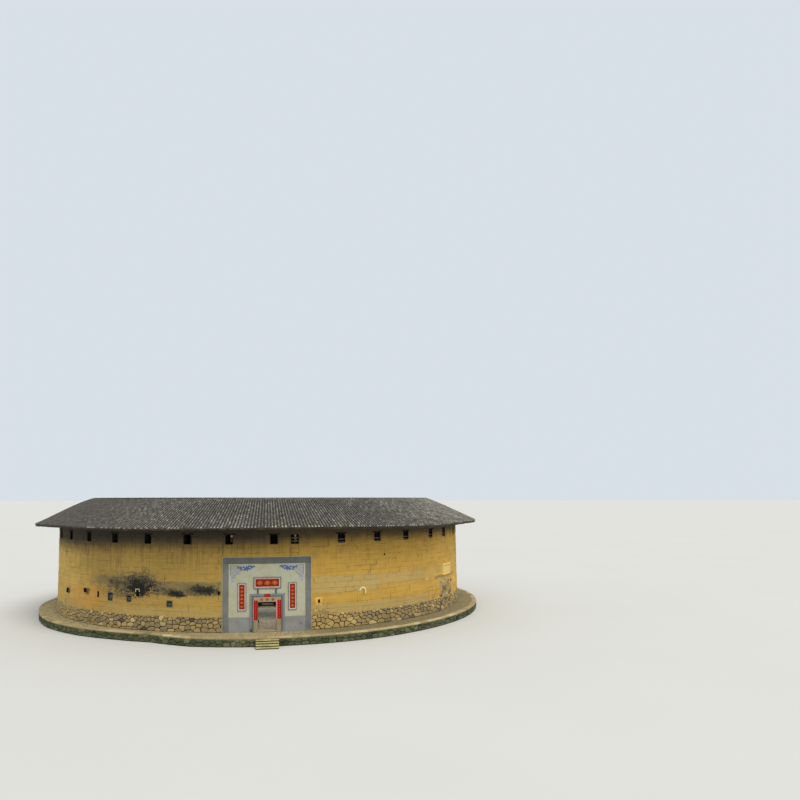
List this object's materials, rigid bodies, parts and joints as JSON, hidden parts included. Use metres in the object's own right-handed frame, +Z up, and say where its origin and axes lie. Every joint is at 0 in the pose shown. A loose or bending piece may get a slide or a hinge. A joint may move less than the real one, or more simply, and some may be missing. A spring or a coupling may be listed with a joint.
{
  "type": "tulou roundhouse, 1:2 scale model",
  "caption": "Round earth house on a stone plinth: rammed earth wall with one row of windows, tiled ring roof, plastered gate and timber courtyard galleries.",
  "frame": {"origin": "middle of the footprint at ground level; the ring's own centre lies 0.27 m from it along +Y, because the steps reach out in front", "axes": "+Z up, -Y out through the gate, +X to the right seen from outside the gate"},
  "size_m": [23.5, 24.44, 5.985],
  "materials": {
    "rammed_earth": "matt rammed earth in lifts, ochre, with soot and rain stains",
    "rubble": "rough field stones bedded in earth",
    "step_stone": "worn dressed slabs",
    "roof_tile": "dull grey unglazed clay tiles with pale weathered edges",
    "grey_plaster": "matt grey lime plaster",
    "white_plaster": "matt off-white lime plaster, yellowed",
    "gate_stone": "dressed granite, warm grey",
    "plaque_board": "red painted boards with gold ornament",
    "timber": "unpainted weathered timber"
  },
  "bodies": {
    "root": {"courtyard_floor": "rubble", "door_jamb_left": "gate_stone", "door_jamb_right": "gate_stone", "door_lintel": "gate_stone", "door_sill": "gate_stone", "door_surround": "grey_plaster", "door_transom": "timber", "earth_wall_1": "rammed_earth", "earth_wall_2": "rammed_earth", "earth_wall_3": "rammed_earth", "earth_wall_4": "rammed_earth", "earth_wall_over_gate": "rammed_earth", "floor_2_left": "timber", "floor_2_right": "timber", "floor_3_left": "timber", "floor_3_right": "timber", "gallery_1": "timber", "gallery_2": "timber", "gallery_3": "timber", "gallery_4": "timber", "gate_border": "grey_plaster", "gate_dado_left": "grey_plaster", "gate_dado_right": "grey_plaster", "gate_plaster": "white_plaster", "gate_step_1": "step_stone", "gate_step_2": "step_stone", "gate_step_3": "step_stone", "gate_step_4": "step_stone", "plaque_left": "plaque_board", "plaque_over_door": "plaque_board", "plaque_right": "plaque_board", "plinth_1": "rubble", "plinth_2": "rubble", "plinth_3": "rubble", "plinth_4": "rubble", "roof_1": "roof_tile", "roof_2": "roof_tile", "roof_3": "roof_tile", "roof_4": "roof_tile", "room_front_1": "timber", "room_front_2": "timber", "room_front_3": "timber", "room_front_4": "timber", "stone_footing_1": "rubble", "stone_footing_2": "rubble", "stone_footing_3": "rubble", "stone_footing_4": "rubble", "window_course_1": "rammed_earth", "window_course_2": "rammed_earth", "window_course_3": "rammed_earth", "window_course_4": "rammed_earth"}
  },
  "joints": []
}
